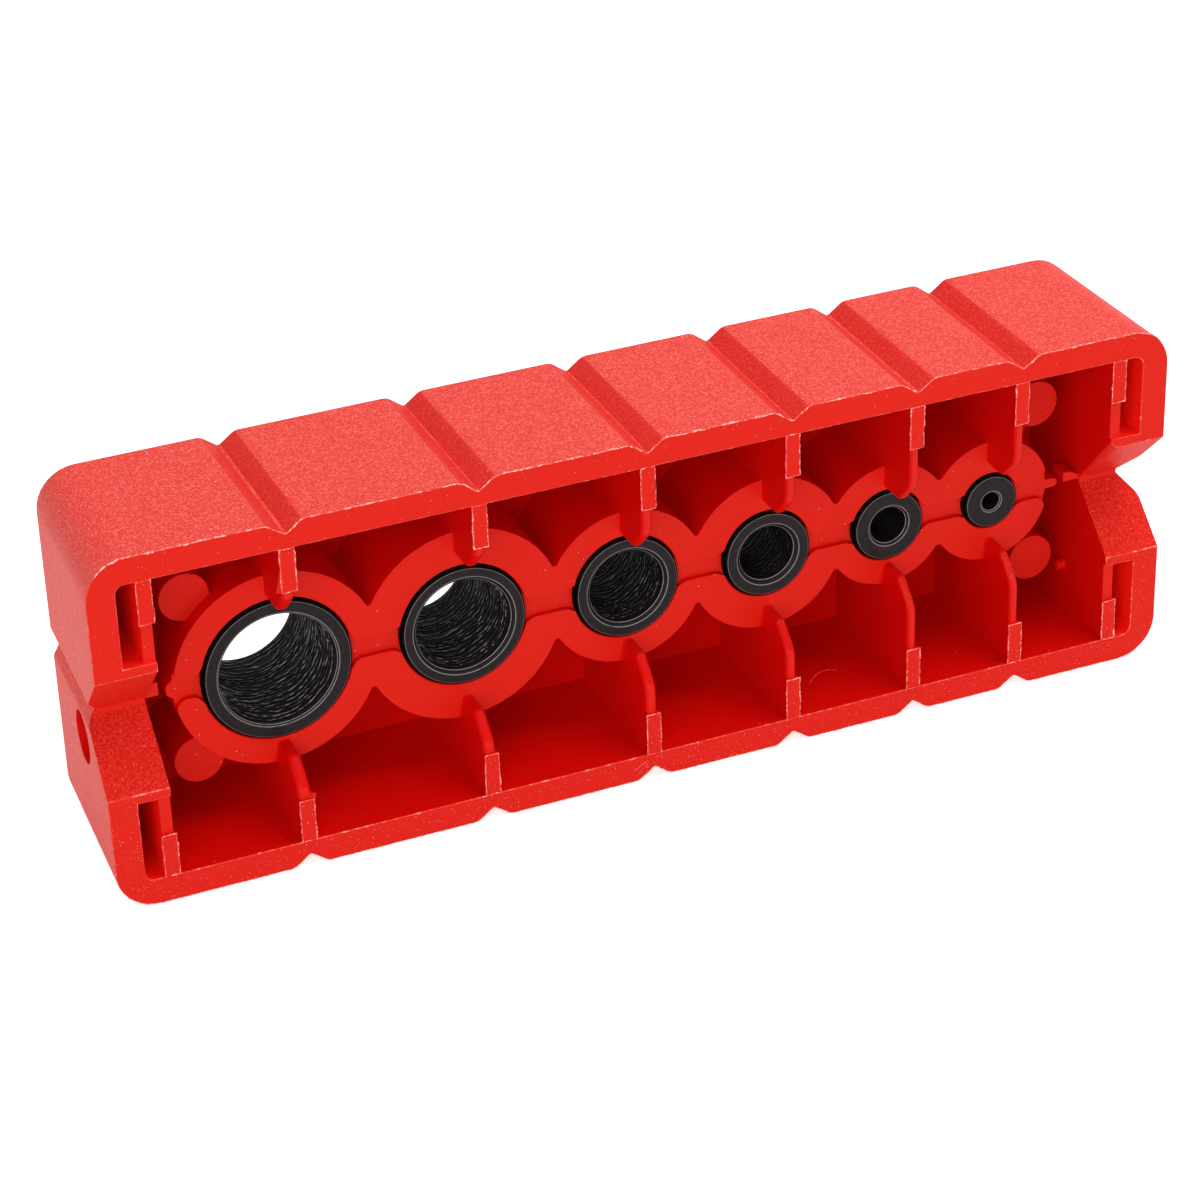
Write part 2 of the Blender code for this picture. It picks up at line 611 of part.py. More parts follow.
def cut_holes(cutters):
    """Seats of the bushes, the channel through them, and the hole in the left end."""
    for i, (x, seat) in enumerate(zip(BUSH_X, SEAT_RADII)):
        mouth = seat + SEAT_MOUTH_CHAMFER
        profile = [
            (0, RING_FACE - CUT_MARGIN), (mouth, RING_FACE - CUT_MARGIN), (mouth, RING_FACE),
            (seat, RING_FACE + SEAT_MOUTH_CHAMFER), (seat, BACK + CUT_MARGIN),
            (0, BACK + CUT_MARGIN),
        ]
        turned(f"seat_{i}", profile, x, cutters)
    start = RING_FACE - CUT_MARGIN
    channel_floor = RING_FACE + CHANNEL_DEPTH
    for i in range(len(BUSH_X) - 1):
        outline = mirrored([*seat_flare(i, 1), *reversed(seat_flare(i + 1, -1))])
        prism(f"channel_{i}", outline, FACING_FRONT, start, channel_floor, cutters)
    channel_ends = (("left", 0, -1, NUBS[0][0]), ("right", len(BUSH_X) - 1, 1, NUBS[1][0]))
    for word, i, side, nub_reach in channel_ends:
        end = BUSH_X[i] + side * (BOSS_RADII[i] + nub_reach + LAYER_OVERLAP)
        outline = mirrored([*seat_flare(i, side), *rim_flare(i, side, end)])
        prism(f"channel_{word}_end", outline, FACING_FRONT, start, channel_floor, cutters)
    hole_y = FRONT + END_HOLE_FROM_FRONT
    hole_z = MIDDLE - END_HOLE_BELOW_MIDDLE
    start = (LEFT_END - CUT_MARGIN, hole_y, hole_z)
    end = (LEFT_END + END_HOLE_DEPTH, hole_y, hole_z)
    rod("end_hole", END_HOLE_RADIUS, start, end, cutters, FULL_TURN_STEPS)


def make_body(parts, material):
    cavities = new_collection("Cavity cutters")
    details = new_collection("Rooted details")
    holes = new_collection("Hole cutters")
    body = prism("guide_body", body_outline(), FACING_FRONT, FRONT, BACK, parts)
    draft_ends(body)
    finish_blank(body)
    body.data.materials.append(material)
    cut_cavities(cavities)
    cut_rib_gaps(cavities)
    cut_ends(cavities)
    add_details(details)
    cut_holes(holes)
    for collection in (cavities, details, holes):
        for obj in collection.objects:
            as_helper(obj)
    combine(body, "Cavities", "DIFFERENCE", cavities)
    combine(body, "Details", "UNION", details)
    combine(body, "Holes", "DIFFERENCE", holes)
    return body


def make_bush(i, parts, material):
    """Turned bush: chamfered edges, a bore with a small chamfer in front and a lead-in at the back."""
    outer = BUSH_RADII[i]
    bore = BORE_DIAMETERS[i] / 2
    front = RING_FACE - BUSH_STAND_PROUD
    back = BACK - BUSH_BACK_RECESS
    front_chamfer = min(BORE_FRONT_CHAMFERS[i], BUSH_WALLS[i] / 2)
    lead_in = min(BORE_LEAD_IN, BUSH_WALLS[i] - 2 * BUSH_EDGE_CHAMFER)
    profile = [
        (outer - BUSH_EDGE_CHAMFER, front), (outer, front + BUSH_EDGE_CHAMFER),
        (outer, back - BUSH_EDGE_CHAMFER), (outer - BUSH_EDGE_CHAMFER, back),
        (bore + lead_in, back), (bore, back - lead_in),
        (bore, front + front_chamfer), (bore + front_chamfer, front),
    ]
    bush = turned(f"drill_bush_{i + 1}", profile, BUSH_X[i], parts)
    bush.data.materials.append(material)
    return bush


def main():
    clear_scene()
    parts = new_collection("Handheld drill guide")
    body_material = make_material("red_moulded_plastic", BODY_LOOK)
    bush_material = make_material("black_oxide_steel", BUSH_LOOK)
    make_body(parts, body_material)
    for i in range(len(BORE_DIAMETERS)):
        make_bush(i, parts, bush_material)


main()
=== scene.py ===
"""Looks of the handheld drill guide: red moulding, blackened steel bushes, white sweep, soft light.

All sizes are in metres, in the part's own frame: X along the row of bushes, Y from the open ribbed
side to the flat back, Z up from the floor that the guide stands on.
"""

import math
import random
from collections import namedtuple

import bmesh
import bpy
from mathutils import Matrix, Vector, noise


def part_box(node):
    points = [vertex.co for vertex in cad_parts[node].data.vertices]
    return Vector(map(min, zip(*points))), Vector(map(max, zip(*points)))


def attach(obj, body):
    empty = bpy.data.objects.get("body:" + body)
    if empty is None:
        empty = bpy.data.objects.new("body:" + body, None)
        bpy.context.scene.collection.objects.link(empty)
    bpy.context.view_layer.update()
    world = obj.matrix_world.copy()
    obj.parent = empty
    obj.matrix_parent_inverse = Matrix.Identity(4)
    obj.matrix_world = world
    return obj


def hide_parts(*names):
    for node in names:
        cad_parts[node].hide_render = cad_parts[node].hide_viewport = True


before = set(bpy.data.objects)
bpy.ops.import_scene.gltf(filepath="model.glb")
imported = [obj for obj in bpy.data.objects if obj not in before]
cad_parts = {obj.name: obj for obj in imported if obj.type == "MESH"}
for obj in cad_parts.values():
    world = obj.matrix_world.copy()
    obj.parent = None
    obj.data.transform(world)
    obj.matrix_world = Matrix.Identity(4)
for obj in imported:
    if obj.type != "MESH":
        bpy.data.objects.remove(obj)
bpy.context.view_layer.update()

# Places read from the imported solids
BODY_LOW, BODY_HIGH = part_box("guide_body")
BUSH_BOXES = [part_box(f"drill_bush_{i}") for i in range(1, 7)]
BUSH_X = [(low.x + high.x) / 2 for low, high in BUSH_BOXES]
BUSH_RADII = [(high.x - low.x) / 2 for low, high in BUSH_BOXES]
BUSH_FRONT = BUSH_BOXES[0][0].y
BUSH_BACK = BUSH_BOXES[0][1].y
FRONT = BODY_LOW.y
MIDDLE = (BODY_LOW.z + BODY_HIGH.z) / 2

# Sizes of the moulding that the finishes and the flash follow
BUSH_STAND_PROUD = 0.0003
LONG_WALL = 0.0028
CAVITY_MARGIN = 0.0048
RING_FACE = BUSH_FRONT + BUSH_STAND_PROUD
POST_TOP_DEPTH = 0.0018
OUTER_SKIN_DEPTH = 0.0021
NOTCH_REACH = 0.0070
POCKET_SPAN = (0.00275, 0.0052)
RIGHT_WALL_REACH = 0.0070
SEAT_MOUTH = 0.0006
SEAT_LIP = 0.0004
GROOVE_REACH = 0.0026
PAD_LENGTH = 0.0046
HALF_PAD = 0.00075
RIB_SETBACK = 0.00045
FACE_TOLERANCE = 0.00002

# Shares of a face's normal along an axis, from square to it down to edge-on
SQUARE = 0.99
NEARLY_SQUARE = 0.9
ON_END = 0.8
ON_NOTCH_FLANK = 0.6
SLANTED = 0.5
ON_GROOVE_FLANK = 0.35
SLIGHTLY_SLANTED = 0.3
EDGE_ON = 0.1

# Roundings of the moulding; a rib's nose is rounded by a share of its thickness on each side
EDGE_ROUNDING = 0.00009
EDGE_STEPS = 2
NOSE_SHARE = 0.40
NOSE_STEPS = 4
RIB_BLEND = 0.0005
SOFT_WALL_ROUNDING = 0.0009
BLEND_STEPS = 4

# Cleaning of the solid's mesh before its edges are rounded
MERGE_DISTANCE = 0.000004
SHORTEST_EDGE = 0.00009
SLIVER_LENGTH = 0.00003
FLAT_ANGLE = math.radians(0.6)
SHARP_ANGLE = math.radians(28)

# Flash: the thin ragged burr that the mould leaves along its parting edges
FLASH_RADIUS = 0.000075
FLASH_STEP = 0.00018
FLASH_WAVE = 0.0009
FLASH_WANDER = 0.00010
FLASH_JITTER = 0.000018
FLASH_SWELL_WAVE = 0.0011
FLASH_MEAN_SWELL = 0.75
FLASH_SWELL_RANGE = 0.9
FLASH_SWELL_JITTER = 0.25
FLASH_LEAST_SWELL = 0.12
FLASH_GAP_SHARE = 0.06
FLASH_GAP_SWELL = 0.1
FLASH_SEED = 7
PAD_FLASH_THICKNESS = 0.8
RIM_FLASH_THICKNESS = 1.0
FOOT_FLASH_THICKNESS = 0.45

# Hair-thin strands of flash and a scratch, each by the places that it runs through
STRAND_RADIUS = 0.000022
STRAND_END_SHARE = 0.3
STRAND_SMOOTHNESS = 6
STRANDS = (
    ((0.01907, -0.00484, 0.0028), (0.02007, -0.00375, 0.0028), (0.02135, -0.00303, 0.0028),
     (0.02257, -0.00316, 0.0028), (0.02295, -0.00380, 0.0028)),
    ((-0.00302, FRONT, 0.00129), (-0.00234, FRONT, 0.00181), (-0.00123, FRONT, 0.00222)),
    ((-0.00247, FRONT, 0.00102), (-0.00180, FRONT, 0.00155), (-0.00146, FRONT, 0.00181)),
    ((0.00740, FRONT, 0.00010), (0.00774, FRONT, 0.00037), (0.00830, FRONT, 0.00025),
     (0.00852, FRONT, 0.00004)),
    ((-0.04457, -0.00860, 0.0380), (-0.04381, -0.00833, 0.0380), (-0.04302, -0.00828, 0.0380)),
)

# Turned bushes, from the largest to the smallest
BORE_RADII = (0.0060, 0.0050, 0.0040, 0.0030, 0.0020, 0.0010)
BORE_FRONT_CHAMFERS = (0.00022, 0.00040, 0.00040, 0.00045, 0.00030, 0.00020)
BUSH_STEPS = (160, 144, 128, 112, 96, 72)
SHOULDER_WIDTH = 0.0002
SHOULDER_DROP = 0.00022
BORE_LEAD_IN = 0.0008
EDGE_LINE_WIDTH = 0.00005
BORE_RINGS = 260
SEAM_TOLERANCE = 0.000001
BUSH_SHARP_ANGLE = math.radians(40)

# Torn ridges of the bores, and the noises that shape them: how fast each changes round a bore and along it,
# and how far it is shifted from bush to bush and sideways
RidgeNoise = namedtuple("RidgeNoise", "turns wave step aside")
DRIFT = RidgeNoise(1.3, 0.0021, 7.3, 0.0)
RIPPLE = RidgeNoise(7.0, 0.0006, 3.1, 0.0)
TEAR = RidgeNoise(11.0, 0.0004, 1.7, 5.0)
RIDGE_PITCH = 0.00060
RIDGE_HEIGHTS = (0.00019, 0.00018, 0.00016, 0.00012, 0.00002, 0.00002)
RIDGE_WANDER = 0.55
DRIFT_SHARE = 2
RIPPLE_SHARE = 0.7
CREST_SHARPNESS = 3
LEAST_STRENGTH = 0.45
MEAN_STRENGTH = 0.80
TEAR_SHARE = 0.7

# Wear and painted light of the bushes: 1 is rubbed to grey steel, partly a painted highlight, 0 is sound
# oxide and -1 is black painted shade
CREST_WEAR_AND_HIGHLIGHT = 0.64
LIP_WEAR_AND_HIGHLIGHT = 0.45
CHAMFER_WEAR_AND_HIGHLIGHT = 0.4
RIM_WEAR_AND_HIGHLIGHT = 0.3
FADING_WEAR_AND_HIGHLIGHT = 0.1
SOUND = 0.0
# Painted shade: a darker line just inside the bore's front chamfer, and the bore's valleys half way to
# black
CHAMFER_SHADE = -0.3
VALLEY_PAINTED_SHADE = -0.50
# Painted shade round each bush's shoulder: black, with no specular, where the gap to its seat lies in
# shadow
SHOULDER_EDGE_SHADE = -0.7
PAINTED_BLACK_SHADE = -1.0

# Camera
CAMERA_PLACE = (-0.122400, -0.293570, 0.196074)
CAMERA_YAW = 0.3891
CAMERA_PITCH = 0.5171
CAMERA_ROLL = -0.0325
FOCAL_PIXELS = 3612.33
IMAGE_PIXELS = 1200
SENSOR = 36.0
CLIP_START = 0.01
CLIP_END = 10.0

# Lamps as name, place, size and power, all aimed at the middle of the object
LAMP_AIM = (0, 0, 0.02)
LAMPS = (
    ("overhead softbox", (0.24, -0.06, 0.54), 0.4, 2.2),
    ("front fill", (-0.35, -0.60, 0.25), 0.5, 2.2),
)

# White surroundings: what lights the object, and what is seen directly
FLOOR_HALF_SIZE = 3.0
FLOOR_DROP = 0.0001
FLOOR_GLOW = 0.72
FLOOR_COLOUR = (0.85, 0.85, 0.85, 1.0)
FLOOR_ROUGHNESS = 0.9
WORLD_LIGHT = 0.45
WORLD_SEEN = 1.0

# Steel of the bushes, from oxide in black painted shade to rubbed metal that is partly a painted highlight
OXIDE_IN_PAINTED_SHADE = (0.003, 0.002, 0.002)
OXIDE_DARK = (0.009, 0.006, 0.007)
OXIDE_LIGHT = (0.016, 0.012, 0.013)
STEEL_RUBBED_AND_HIGHLIGHT = (0.72, 0.70, 0.70)
OXIDE_GRAIN = 2400.0
OXIDE_GRAIN_DEPTH = 0.000010
OXIDE_STOPS = (0.35, 0.7)
OXIDE_ROUGHNESS = (0.40, 0.55)
OXIDE_SPECULAR = 0.14
OXIDE_METALLIC = 0.15
RUB_GRAIN = 1500.0
RUB_SPAN = (0.14, 0.46)

# Reds of the plastic, from shade to the white of stressed plastic and painted highlights
# Painted shade: a darker, deeper red for the cavity faces, where shade falls
RED_PAINTED_SHADE = (0.70, 0.0025, 0.0012)
# Painted light: a brighter, glowing red for the pockets in the end walls
RED_PAINTED_GLOW = (0.97, 0.012, 0.006)
RED_SHADE = (0.66, 0.008, 0.004)
RED = (0.74, 0.014, 0.006)
RED_LIGHT = (0.80, 0.034, 0.020)
RED_PALE = (0.86, 0.120, 0.090)
RED_WHITE_AND_HIGHLIGHT = (0.98, 0.560, 0.500)

# Noise of the grains: its detail, and how rough it is where it is fine and where it breaks up a finish
GRAIN_DETAIL = 3.0
FINE = 0.6
BROKEN = 0.7

# Bright core and soft edge of a speck, as shares of its size, and where the grain's three reds lie
SPECK_CORE = 0.6
SPECK_EDGE = 1.6
GRAIN_STOPS = (0.40, 0.50, 0.61)

# Finishes of the mould: scale and depth of the grain, roughness range, specular level, specks per metre,
# speck size, share of cells without a speck, and the three reds from the grain's valleys to its peaks
Finish = namedtuple("Finish", "grain depth rough specular specks size empty reds")
FINISHES = {
    "outside": Finish(
        4800.0, 0.000070, (0.46, 0.70), 0.35, 2700.0, 0.14, 0.50, (RED, RED_LIGHT, RED_PALE),
    ),
    "groove": Finish(
        3800.0, 0.000110, (0.46, 0.70), 0.24, 2700.0, 0.11, 0.75, (RED_SHADE, RED, RED_LIGHT),
    ),
    "rim": Finish(5200.0, 0.000012, (0.48, 0.58), 0.12, 3000.0, 0.09, 0.70, (RED, RED, RED)),
    "speckled_rim": Finish(
        5200.0, 0.000030, (0.48, 0.60), 0.14, 3700.0, 0.11, 0.40, (RED_SHADE, RED, RED),
    ),
    "flank": Finish(
        4200.0, 0.000180, (0.42, 0.62), 0.10, 3400.0, 0.10, 0.45, (RED_SHADE, RED, RED_LIGHT),
    ),
    "ring": Finish(2600.0, 0.000005, (0.42, 0.50), 0.10, 1700.0, 0.08, 0.88, (RED, RED, RED)),
    # End-wall pockets: smooth, in the brighter red of painted light
    "pocket_painted_glow": Finish(
        900.0, 0.000002, (0.42, 0.46), 0.10, 1700.0, 0.07, 0.93, (RED_PAINTED_GLOW, RED_PAINTED_GLOW, RED_PAINTED_GLOW),
    ),
    # Cavity faces: smooth, in the darker red of painted shade
    "core_painted_shade": Finish(900.0, 0.000002, (0.42, 0.46), 0.10, 1700.0, 0.07, 0.93, (RED_PAINTED_SHADE, RED_PAINTED_SHADE, RED_PAINTED_SHADE)),
}

# Pale finishes of the rounded front edges and of the flash, partly stress-whitened plastic and partly a
# painted
# highlight: scale of the grain that breaks them up, where its three reds lie, roughness and specular level
PaleFinish = namedtuple("PaleFinish", "grain stops rough specular")
EDGE_PALE_AND_HIGHLIGHT = PaleFinish(1300.0, (0.46, 0.60, 0.74), 0.50, 0.2)
FLASH_PALE_AND_HIGHLIGHT = PaleFinish(2400.0, (0.36, 0.48, 0.60), 0.55, 0.5)
PALE_REDS = (RED_LIGHT, RED_PALE, RED_WHITE_AND_HIGHLIGHT)


def new_material(name):
    material = bpy.data.materials.new(name)
    material.use_nodes = True
    return material, material.node_tree, material.node_tree.nodes["Principled BSDF"]


def add_node(tree, kind, **settings):
    """Adds a node; a setting is an input's name with _ for spaces, or an attribute of the node."""
    made = tree.nodes.new(kind)
    for key, value in settings.items():
        if hasattr(made, key):
            setattr(made, key, value)
        else:
            made.inputs[key.replace("_", " ")].default_value = value
    return made


def object_coordinates(tree):
    return add_node(tree, "ShaderNodeTexCoord").outputs["Object"]


def grain(tree, scale, roughness):
    made = add_node(tree, "ShaderNodeTexNoise", Scale=scale, Detail=GRAIN_DETAIL, Roughness=roughness)
    tree.links.new(object_coordinates(tree), made.inputs["Vector"])
    return made.outputs["Fac"]


def ramp(tree, source, stops, colours):
    """Colour ramp over a value, with a colour at each stop."""
    made = tree.nodes.new("ShaderNodeValToRGB")
    elements = made.color_ramp.elements
    while len(elements) < len(stops):
        elements.new(0.5)
    for element, stop, colour in zip(elements, stops, colours):
        element.position = stop
        element.color = (*colour, 1.0)
    tree.links.new(source, made.inputs["Fac"])
    return made.outputs["Color"]


def spread(tree, source, low, high, source_low=0.0, source_high=1.0):
    """Maps a range of the source to the range from low to high, and stops there."""
    made = add_node(
        tree, "ShaderNodeMapRange", From_Min=source_low, From_Max=source_high, To_Min=low, To_Max=high,
    )
    tree.links.new(source, made.inputs["Value"])
    return made.outputs["Result"]


def multiplied(tree, first, second):
    made = add_node(tree, "ShaderNodeMath", operation="MULTIPLY")
    for socket, value in zip(made.inputs, (first, second)):
        if isinstance(value, float):
            socket.default_value = value
        else:
            tree.links.new(value, socket)
    return made.outputs[0]


def blend_colours(tree, factor, first, second):
    """Mixes two colours or sockets; the Mix node has its colours at inputs 6 and 7 and output 2."""
    made = add_node(tree, "ShaderNodeMix", data_type="RGBA")
    tree.links.new(factor, made.inputs["Factor"])
    for socket, colour in ((made.inputs[6], first), (made.inputs[7], second)):
        if isinstance(colour, tuple):
            socket.default_value = (*colour, 1.0)
        else:
            tree.links.new(colour, socket)
    return made.outputs[2]


def add_bump(tree, shader, height, distance):
    made = add_node(tree, "ShaderNodeBump", Distance=distance)
    tree.links.new(height, made.inputs["Height"])
    tree.links.new(made.outputs["Normal"], shader.inputs["Normal"])


def speck_mask(tree, scale, size, empty_share):
    """Sparse bright points: one in each Voronoi cell, except in a share of the cells."""
    cells = add_node(tree, "ShaderNodeTexVoronoi", Scale=scale)
    tree.links.new(object_coordinates(tree), cells.inputs["Vector"])
    inside = spread(tree, cells.outputs["Distance"], 1.0, 0.0, size * SPECK_CORE, size * SPECK_EDGE)
    chosen = add_node(tree, "ShaderNodeSeparateColor")
    tree.links.new(cells.outputs["Color"], chosen.inputs["Color"])
    strength = spread(tree, chosen.outputs["Red"], 0.0, 1.0, empty_share, 1.0)
    return multiplied(tree, inside, strength)


def moulded_material(zone):
    """Red plastic with the finish that this zone of the mould gives it."""
    finish = FINISHES[zone]
    material, tree, shader = new_material(f"red_{zone}")
    fine = grain(tree, finish.grain, FINE)
    base = ramp(tree, fine, GRAIN_STOPS, finish.reds)
    # Bright specks: partly pale flecks in the plastic, partly painted glints of its grain
    specks = speck_mask(tree, finish.specks, finish.size, finish.empty)
    tree.links.new(blend_colours(tree, specks, base, RED_WHITE_AND_HIGHLIGHT), shader.inputs["Base Color"])
    tree.links.new(spread(tree, fine, *finish.rough), shader.inputs["Roughness"])
    shader.inputs["Specular IOR Level"].default_value = finish.specular
    add_bump(tree, shader, fine, finish.depth)
    return material


def pale_material(name, finish):
    """Paler plastic of the rounded edges and of the flash, in broken stretches: partly stressed white,
    partly a painted highlight along the edges.
    """
    material, tree, shader = new_material(name)
    broken = grain(tree, finish.grain, BROKEN)
    tree.links.new(ramp(tree, broken, finish.stops, PALE_REDS), shader.inputs["Base Color"])
    shader.inputs["Roughness"].default_value = finish.rough
    shader.inputs["Specular IOR Level"].default_value = finish.specular
    return material


def blackened_steel_material():
    """Black oxide: rubbed to grey steel, partly a painted highlight, where the vertex attribute is over 0,
    and darkened by painted shade, with less specular and metallic, where under 0.
    """
    material, tree, shader = new_material("black_oxide_steel")
    wear_light_shade = add_node(tree, "ShaderNodeAttribute", attribute_name="wear_light_shade").outputs["Fac"]
    fine = grain(tree, OXIDE_GRAIN, FINE)
    oxide = ramp(tree, fine, OXIDE_STOPS, (OXIDE_DARK, OXIDE_LIGHT))
    unshaded_share = spread(tree, wear_light_shade, 0.0, 1.0, PAINTED_BLACK_SHADE, SOUND)
    oxide_with_painted_shade = blend_colours(tree, unshaded_share, OXIDE_IN_PAINTED_SHADE, oxide)
    broken = spread(tree, grain(tree, RUB_GRAIN, BROKEN), 0.0, 1.0, *RUB_SPAN)
    wear_light_shade_value = multiplied(tree, spread(tree, wear_light_shade, 0.0, 1.0), broken)
    tree.links.new(blend_colours(tree, wear_light_shade_value, oxide_with_painted_shade, STEEL_RUBBED_AND_HIGHLIGHT), shader.inputs["Base Color"])
    tree.links.new(spread(tree, fine, *OXIDE_ROUGHNESS), shader.inputs["Roughness"])
    tree.links.new(multiplied(tree, unshaded_share, OXIDE_SPECULAR), shader.inputs["Specular IOR Level"])
    tree.links.new(multiplied(tree, unshaded_share, OXIDE_METALLIC), shader.inputs["Metallic"])
    add_bump(tree, shader, fine, OXIDE_GRAIN_DEPTH)
    return material


def on_front(point):
    return abs(point.y - FRONT) < FACE_TOLERANCE


def inside_walls(point):
    """Whether a point lies between the long walls and the end walls, where the pads are."""
    low = point.z > BODY_LOW.z + LONG_WALL - FACE_TOLERANCE
    high = point.z < BODY_HIGH.z - LONG_WALL + FACE_TOLERANCE
    return low and high and BODY_LOW.x + CAVITY_MARGIN < point.x < BODY_HIGH.x - CAVITY_MARGIN


def on_skin(centre, normal):
    """Whether a face belongs to the outside: the long sides, the ends or the back."""
    outward = (
        (centre.x - BODY_LOW.x, -normal.x), (BODY_HIGH.x - centre.x, normal.x),
        (centre.z - BODY_LOW.z, -normal.z), (BODY_HIGH.z - centre.z, normal.z),
        (BODY_HIGH.y - centre.y, normal.y),
    )
    return any(depth < OUTER_SKIN_DEPTH and facing > SLIGHTLY_SLANTED for depth, facing in outward)


def in_groove(centre, normal):
    """Whether a face of the outside lies on a flank of a sighting groove."""
    on_long_side = abs(normal.x) > ON_GROOVE_FLANK and abs(normal.z) > SLIGHTLY_SLANTED
    near_bush = any(abs(centre.x - x) < GROOVE_REACH for x in BUSH_X)
    return on_long_side and near_bush


def face_zone(face):
    """Finish of a face of the moulding, from where it lies and which way it faces."""
    centre = face.calc_center_median()
    normal = face.normal
    if on_skin(centre, normal):
        return "groove" if in_groove(centre, normal) else "outside"
    if on_front(centre):
        return "rim" if centre.z > MIDDLE else "speckled_rim"
    if normal.y < -NEARLY_SQUARE and centre.y < RING_FACE + POST_TOP_DEPTH:
        return "ring"
    slanted = normal.y < -SLANTED and abs(normal.z) > SLANTED
    if slanted and abs(centre.z - MIDDLE) < NOTCH_REACH and centre.y < RING_FACE:
        return "flank" if centre.z < MIDDLE else "speckled_rim"
    from_end = min(centre.x - BODY_LOW.x, BODY_HIGH.x - centre.x)
    # Cavity faces: a painted glow in the end pockets, painted shade everywhere else
    return "pocket_painted_glow" if POCKET_SPAN[0] < from_end < POCKET_SPAN[1] else "core_painted_shade"


def middle_of(edge):
    return (edge.verts[0].co + edge.verts[1].co) / 2


def round_edges(form, edges, radius, steps):
    return bmesh.ops.bevel(
        form, geom=edges, offset=radius, offset_type="OFFSET", segments=steps, profile=0.5,
        affect="EDGES", clamp_overlap=False, material=-1,
    )


def draw_in_seat_mouths(form):
    """Narrows the mouth of each seat to a fine lip, as the moulding shows it."""
    for x, radius in zip(BUSH_X, BUSH_RADII):
        for vertex in form.verts:
            away = Vector((vertex.co.x - x, 0, vertex.co.z - MIDDLE))
            at_mouth = abs(away.length - radius - SEAT_MOUTH) < FACE_TOLERANCE
            if at_mouth and abs(vertex.co.y - RING_FACE) < FACE_TOLERANCE:
                vertex.co -= away.normalized() * (SEAT_MOUTH - SEAT_LIP)


def is_nose_edge(edge):
    """Edge along a rib's nose, between a side of the rib and the face that looks at the other rib."""
    if not edge.is_manifold or not edge.is_convex:
        return False
    centre = middle_of(edge)
    pad_end = BODY_HIGH.z - LONG_WALL - PAD_LENGTH - MIDDLE
    if not FRONT + RIB_SETBACK - FACE_TOLERANCE < centre.y < RING_FACE:
        return False
    if abs(centre.z - MIDDLE) > pad_end + FACE_TOLERANCE:
        return False
    sideways = sorted(abs(face.normal.x) for face in edge.link_faces)
    return sideways[0] < EDGE_ON and sideways[1] > NEARLY_SQUARE


def blend_ribs_into_rings(form):
    """Fills the corner between the lower ribs' sides and the ring faces with a small radius."""
    corners = []
    for edge in form.edges:
        centre = middle_of(edge)
        if not edge.is_manifold or edge.is_convex or centre.z > MIDDLE:
            continue
        if abs(centre.y - RING_FACE) > FACE_TOLERANCE:
            continue
        flat = any(face.normal.y < -SQUARE for face in edge.link_faces)
        side = any(abs(face.normal.x) > SQUARE for face in edge.link_faces)
        if flat and side:
            corners.append(edge)
    round_edges(form, corners, RIB_BLEND, BLEND_STEPS)


def soften_right_wall(form):
    """Rounds the cavity side of the right inner wall where the notch's upper flank cuts it."""
    worn = []
    for edge in form.edges:
        if not edge.is_manifold or not edge.is_convex:
            continue
        if middle_of(edge).x < BODY_HIGH.x - RIGHT_WALL_REACH:
            continue
        flank = any(max(face.normal.y, face.normal.z) < -ON_NOTCH_FLANK for face in edge.link_faces)
        side = any(face.normal.x < -SQUARE for face in edge.link_faces)
        if flank and side:
            worn.append(edge)
    round_edges(form, worn, SOFT_WALL_ROUNDING, BLEND_STEPS)


def round_noses(form):
    """Rounds the nose of every rib across its thickness."""
    for x in BUSH_X:
        nose = [
            edge for edge in form.edges
            if abs(edge.verts[0].co.x - x) < HALF_PAD and is_nose_edge(edge)
        ]
        thickness = 2 * max(abs(edge.verts[0].co.x - x) for edge in nose)
        round_edges(form, nose, thickness * NOSE_SHARE, NOSE_STEPS)


def body_form():
    """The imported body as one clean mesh, cut by planes so that its large faces are simple ones."""
    form = bmesh.new()
    form.from_mesh(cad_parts["guide_body"].data)
    bmesh.ops.remove_doubles(form, verts=form.verts, dist=MERGE_DISTANCE)
    bmesh.ops.dissolve_limit(form, angle_limit=FLAT_ANGLE, verts=form.verts, edges=form.edges)
    bmesh.ops.dissolve_degenerate(form, dist=SLIVER_LENGTH, edges=form.edges)
    planes = [((x, 0, 0), (1, 0, 0)) for x in BUSH_X]
    planes += [(((left + right) / 2, 0, 0), (1, 0, 0)) for left, right in zip(BUSH_X, BUSH_X[1:])]
    levels = (BODY_LOW.z + LONG_WALL, MIDDLE, BODY_HIGH.z - LONG_WALL)
    planes += [((0, 0, z), (0, 0, 1)) for z in levels]
    for place, direction in planes:
        bmesh.ops.bisect_plane(
            form, geom=form.verts[:] + form.edges[:] + form.faces[:], dist=FACE_TOLERANCE,
            plane_co=place, plane_no=direction,
        )
    draw_in_seat_mouths(form)
    bmesh.ops.remove_doubles(form, verts=form.verts, dist=SHORTEST_EDGE)
    form.normal_update()
    return form


def dress(piece, replaced=None):
    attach(piece, "root")
    if replaced:
        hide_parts(replaced)


def link_mesh(name, mesh):
    piece = bpy.data.objects.new(name, mesh)
    bpy.context.scene.collection.objects.link(piece)
    return piece


